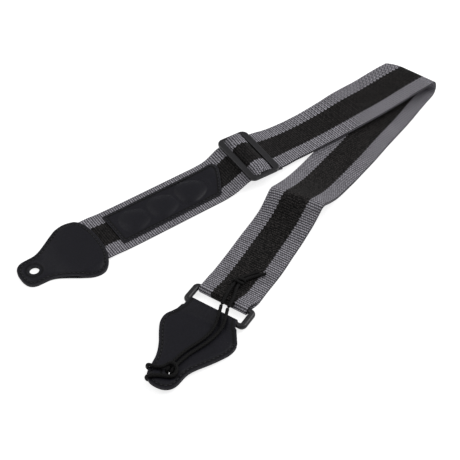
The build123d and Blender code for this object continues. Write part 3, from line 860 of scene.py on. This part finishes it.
shoulder_a = [
    (-13.3, 0), (-13.0, 4.6), (-11.6, 9.2), (-9.0, 12.3), (-5.4, 13.9), (0, 14.3), (6.5, 14.7), (12, 16.6),
    (19, 20.6), (28.5, 26.8), (36, 31.2), (42.5, 32.6), (48, 31.4), (52.8, 27.4), (56.7, 21.0), (59.3, 11),
    (60, 0),
]
# Tab A lies a little to the near side of its hole.
outline_a = mirrored(rounded(shoulder_a))
outline_a[:, 1] -= 0.9 + 0.9 * smooth(outline_a[:, 0], 8, 30) - 1.4 * smooth(outline_a[:, 0], 46, 60)
shoulder_b = [
    (-15.1, 0), (-14.8, 3.7), (-13.5, 7.4), (-11.0, 10.4), (-7.4, 12.4), (-3, 13.3), (2, 13.8), (7.5, 14.9),
    (13, 17.2), (20, 21.2), (30, 27.3), (37.5, 31.0), (43, 32.0), (47.5, 31.4), (52.5, 28.6), (58, 25.6),
    (62, 24.1), (66, 23.4),
]
outline_b_full = rounded(shoulder_b)


def lean_b(outline):
    """Tab B's narrow end leans a little to one side."""
    return outline + np.stack([0 * outline[:, 0], 2.0 * (1 - smooth(outline[:, 0], 2, 24))], axis=1)


def tab_b_outline(x_end):
    """Tab B's outline, cut square across its neck."""
    side = outline_b_full[outline_b_full[:, 0] < x_end - 0.4]
    corner = [x_end, np.interp(x_end, outline_b_full[:, 0], outline_b_full[:, 1])]
    across = np.linspace(corner[1], 0, 36)[:, None]
    line = np.concatenate([side, [corner], np.hstack([0 * across[1:] + x_end, across[1:]])])
    return lean_b(mirrored(line))


hole_a = circle(4.0)
hole_b_loop = circle(3.3) * [0.48, 1.0]  # pulled narrow by the lace


def tab_a_middle(x, y):
    """The middle of the upper leather's thickness: it climbs over the webbing's end and comes down beside it."""
    beside = (1 - smooth(-y, 25.0, 30.5)) * (1 - smooth(y, 26.0, 31.0))
    return LEATHER_T + LEATHER_GAP + 1.55 * smooth(x, 7, 26) * beside + LEATHER_T / 2


def pressed(distance, deep, width):
    """A line pressed into the leather, at distance 0."""
    return -deep * np.exp(-((distance / width) ** 2))


def emboss_a(x, y, depth):
    """A pressed line along the stitching and a soft crown."""
    return pressed(depth - STITCH_IN, 0.98, 0.75) + CROWN * smooth(depth, 3, 14)


CUT_EDGE = 0.45  # tab A's edges are only a little rounded
NECK_X = 46.0  # where tab B's neck starts
tab_a_low = plate(
    "tab_a_back",
    outline_a,
    [hole_a],
    lambda x, y, h: tab_a_plane.at(x, y, LEATHER_T / 2 + h),
    edge=CUT_EDGE,
)
tab_a_top = plate(
    "tab_a_front",
    outline_a,
    [hole_a],
    lambda x, y, h: tab_a_plane.at(x, y, tab_a_middle(x, y) + h),
    relief=emboss_a,
    edge=CUT_EDGE,
)
tab_b_low = plate(
    "tab_b_back",
    tab_b_outline(NECK_X + 0.4),
    [hole_b_loop],
    lambda x, y, h: tab_b_plane.at(x, y, LEATHER_T / 2 + h),
)

# Tab B's front runs on as a narrower neck round the ring's lower bar and back under itself.
NECK_R = 3.01  # from the lower bar's axis to the middle of the neck's thickness
NECK_HALF = 21.7  # half the neck's width
neck_middle = LEATHER_T * 1.5 + LEATHER_GAP


def neck_path():
    """The neck's middle in the tab's x and height: along the tab, up to the bar, round it, and back to the seam."""
    axis = ring_floor.at(-RING_PITCH, 0, BAR_Z)
    offset = axis - tab_b_plane.origin
    bar_x, bar_h = float(offset @ tab_b_plane.x_dir), float(offset @ tab_b_plane.z_dir)
    over = np.array([(NECK_X, neck_middle), (56.0, neck_middle), (bar_x - 9, neck_middle + 0.3)])
    arc = np.radians(np.linspace(105, -100, 22))
    bend = np.stack([bar_x + NECK_R * np.cos(arc), bar_h + NECK_R * np.sin(arc)], axis=1)
    back = np.array([(bar_x - 9, neck_middle - LEATHER_T - 0.1), (52.0, LEATHER_T / 2), (48.2, LEATHER_T / 2)])
    return spaced(np.concatenate([over, bend, back]), 0.6)


neck_line = neck_path()
for _ in range(4):  # ease its corners
    neck_line[1:-1] = (neck_line[:-2] + 2 * neck_line[1:-1] + neck_line[2:]) / 4
neck_length = distances(neck_line)
neck_ways = unit(np.gradient(neck_line, axis=0))


def tab_b_place(x, y, h):
    """Beyond the seam, x is the distance along the neck as it goes round the bar."""
    x, y, h = np.broadcast_arrays(x, y, h)
    run = np.clip(x - NECK_X, 0, None)
    px = np.interp(run, neck_length, neck_line[:, 0])
    pz = np.interp(run, neck_length, neck_line[:, 1])
    tx, tz = (np.interp(run, neck_length, neck_ways[:, k]) for k in range(2))
    flat = x < NECK_X
    px, pz = np.where(flat, x, px), np.where(flat, neck_middle, pz)
    tx, tz = np.where(flat, 1.0, tx), np.where(flat, 0.0, tz)
    turn_to_ring = radians(RING_YAW - TAB_B_YAW) * smooth(run, 6, 24)  # so that it faces the ring squarely
    local_x, local_z = px - tz * h, pz + tx * h
    return tab_b_plane.at(local_x - np.sin(turn_to_ring) * y, y * np.cos(turn_to_ring), local_z)


neck_end = NECK_X + neck_length[-1] - 0.3
side_b = outline_b_full[outline_b_full[:, 0] < 60]
neck_edge = [(61, 23.2), (66, 21.9), (72, NECK_HALF)]
neck_edge += [(neck_end - 22, NECK_HALF), (neck_end - 12, 21.9), (neck_end, 22.6)]
neck_side = np.concatenate([side_b, rounded(neck_edge)])
neck_across = np.linspace(neck_side[-1, 1], 0, 34)[1:, None]
outline_neck = lean_b(mirrored(np.concatenate([neck_side, np.hstack([0 * neck_across + neck_end, neck_across])])))


def emboss_b(x, y, depth):
    """As on tab A, with a pressed seam across the neck."""
    seam = pressed(x - NECK_X - 0.5, 0.5, 0.7) * smooth(depth, 1.5, 3)
    crown = CROWN * smooth(depth, 3, 14) * (1 - smooth(x, NECK_X, 58))
    groove = pressed(depth - STITCH_IN, 0.85, 0.75) * (1 - smooth(x, NECK_X, 50))
    return seam + crown + groove


tab_b_top = plate("tab_b_front", outline_neck, [hole_b_loop], tab_b_place, spacing=1.5, relief=emboss_b)

# The pick holder: a leather patch sewn on the webbing, with three pockets pressed out of it.
PATCH_X0, PATCH_HALF, PATCH_T = 73.6, 18.3, 1.3  # its left end, half its width and its thickness
PATCH_STITCH_IN = 2.0
pockets = [(94.6, -0.8), (123.4, -0.6), (152.9, 1.0)]


def patch_middle(x, lane):
    return front_top(x, lane) + 0.06 + PATCH_T / 2


def pocket_shape(x, y, cx, cy):
    """0 at a pocket's middle and 1 at its edge: a rounded triangle, blunt towards the slider."""
    dx, dy = x - cx, y - cy
    angle = np.arctan2(dy, dx)
    return np.hypot(dx / 14.6, dy / 13.4) / (1 + 0.055 * np.cos(3 * angle))


def patch_relief(x, y, depth):
    """Three domed pockets with two pressed lines round each, and lines along the stitching and the left end."""
    lift = np.zeros_like(x)
    for cx, cy in pockets:
        reach = pocket_shape(x, y, cx, cy)
        dome = 1.9 * np.clip(1 - reach**2.8, 0, 1)
        lift = np.maximum(lift, dome) + pressed(reach - 1.05, 0.60, 0.05) + pressed(reach - 1.22, 0.50, 0.05)
    end_line = pressed(x - PATCH_X0 - 5.4, 0.30, 0.7) * smooth(depth, 1.5, 3)
    return lift + pressed(depth - PATCH_STITCH_IN, 0.34, 0.6) + end_line


far_corner = [(180.0, PATCH_HALF), (183.6, 17.9), (186.3, 16.4), (187.6, 13.6), (187.8, 10.0), (186.9, 6.0)]
far_corner += [(184.6, 1.2)]
slant = [(180.8, -5.6), (177.0, -11.4), (174.0, -16.4), (172.6, -18.2)]
patch_line = [(PATCH_X0, -PATCH_HALF + 0.6), (PATCH_X0 + 0.6, -PATCH_HALF), (171.8, -PATCH_HALF)]
patch_line += slant[::-1] + far_corner[::-1] + [(PATCH_X0 + 0.6, PATCH_HALF), (PATCH_X0, PATCH_HALF - 0.6)]
patch_line = spaced(np.array(patch_line + patch_line[:1]), 0.8)[:-1]


def patch_place(x, y, h):
    lane = y / HALF
    base = on_run_1(x, lane, patch_middle(x, lane))
    slope = (patch_middle(x + 0.5, lane) - patch_middle(x - 0.5, lane)) / 1.0
    lean = 1 / np.sqrt(1 + slope**2)
    return base + h[..., None] * np.stack([-slope * lean, 0 * slope, lean], axis=-1)


patch = plate("pick_holder", patch_line, [], patch_place, PATCH_T, 1.0, patch_relief)

for piece, body in ((tab_a_low, "strap"), (tab_a_top, "strap"), (tab_b_low, "tab_b"), (tab_b_top, "tab_b")):
    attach(piece, body)
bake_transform(patch)
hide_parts("tab_a_lower")
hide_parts("tab_a_upper")
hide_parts("tab_b_lower")
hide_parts("tab_b_upper")
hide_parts("pick_holder_base", "pick_pocket_1", "pick_pocket_2", "pick_pocket_3")


# ---- stitching
STITCH_PITCH, STITCH_HALF, THREAD_R = 3.6, 1.25, 0.36


def stitching(name, line, place, node, body):
    """Stitches along a line on the leather, each a short twisted thread that dips in at both ends."""
    loop = np.concatenate([line, line[:1]])
    whole = distances(loop)[-1]
    count = round(whole / STITCH_PITCH)
    verts, faces, along, around = [], [], [], []
    sides_n, rows = 8, np.linspace(-1, 1, 9)
    for i in range(count):
        mark = (i + 0.5) * whole / count
        for row in rows:
            here = mark + row * STITCH_HALF
            (x, y), (x1, y1) = at_marks(loop, [here, here + 0.1])
            spot, ahead, above = place(np.array([x, x1, x]), np.array([y, y1, y]), np.array([0.0, 0.0, 1.0]))
            up, way = above - spot, unit(ahead - spot)
            side = unit(np.cross(up, way))
            lift = 0.22 * (1 - row**2) - 0.12
            radius = THREAD_R * max(0.0, 1 - abs(row) ** 4) ** 0.5 + 0.05
            for k in range(sides_n):
                angle = 2 * pi * k / sides_n
                verts.append(spot + up * (lift + radius * sin(angle)) + side * (radius * 1.15 * cos(angle)))
                along.append(here)
                around.append(angle)
        base = i * len(rows) * sides_n
        last = base + (len(rows) - 1) * sides_n
        faces += (base + skin(len(rows), sides_n)).tolist()
        faces += [tuple(range(base, base + sides_n)), tuple(range(last, last + sides_n))[::-1]]
    obj = make_object(name, np.array(verts), faces, THREAD, along=along, around=around)
    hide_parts(node)
    if body:
        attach(obj, body)
    return obj


def on_tab_a(x, y, h):
    return tab_a_plane.at(x, y, tab_a_middle(x, y) + LEATHER_T / 2 - 0.62 + h)


def on_tab_b(x, y, h):
    return tab_b_plane.at(x, y, neck_middle + LEATHER_T / 2 - 0.52 + h)


def on_patch(x, y, h):
    return patch_place(x, y, h + PATCH_T / 2 - 0.14)


stitching("tab_a_thread", inset(outline_a, STITCH_IN), on_tab_a, "tab_a_stitching", "strap")
stitching("tab_b_thread", inset(tab_b_outline(48.4), STITCH_IN), on_tab_b, "tab_b_stitching", "tab_b")
patch_seam = inset(patch_line, PATCH_STITCH_IN)
patch_thread = stitching("pick_holder_thread", patch_seam, on_patch, "pick_holder_stitching", None)
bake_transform(patch_thread)

# ---- slider and ring
for node in ("slider", "ring"):
    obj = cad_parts[node]
    obj.data.materials.clear()
    obj.data.materials.append(PLASTIC)

# ---- floor and light
g = Graph("floor", Roughness=0.9, Emission_Color=(1, 1, 1, 1), Emission_Strength=0.74)
floor_material = g.finish(g.mix(g.noise(g.coordinates(), 3.0), (0.46, 0.46, 0.461), (0.49, 0.49, 0.49)))
floor_mesh = bpy.data.meshes.new("floor")
floor_mesh.from_pydata([(-6, -6, 0), (6, -6, 0), (6, 6, 0), (-6, 6, 0)], [], [(0, 1, 2, 3)])
floor_mesh.materials.append(floor_material)
floor = bpy.data.objects.new("floor", floor_mesh)
floor.location.z = -0.0002
scene.collection.objects.link(floor)

world = bpy.data.worlds.new("studio")
scene.world = world
world.use_nodes = True
backdrop = world.node_tree.nodes["Background"]
backdrop.inputs["Color"].default_value = (1.0, 1.0, 1.0, 1)
backdrop.inputs["Strength"].default_value = 0.45


def softbox(name, spot, size, power):
    light = bpy.data.lights.new(name, "AREA")
    light.shape = "SQUARE"
    light.size = size
    light.energy = power
    lamp = bpy.data.objects.new(name, light)
    scene.collection.objects.link(lamp)
    aim(lamp, spot, (0, 0, 0))


softbox("key", (1.6, -0.5, 1.7), 1.5, 34)
softbox("fill", (-0.9, 1.2, 1.7), 1.8, 14)
scene.view_settings.view_transform = "Standard"
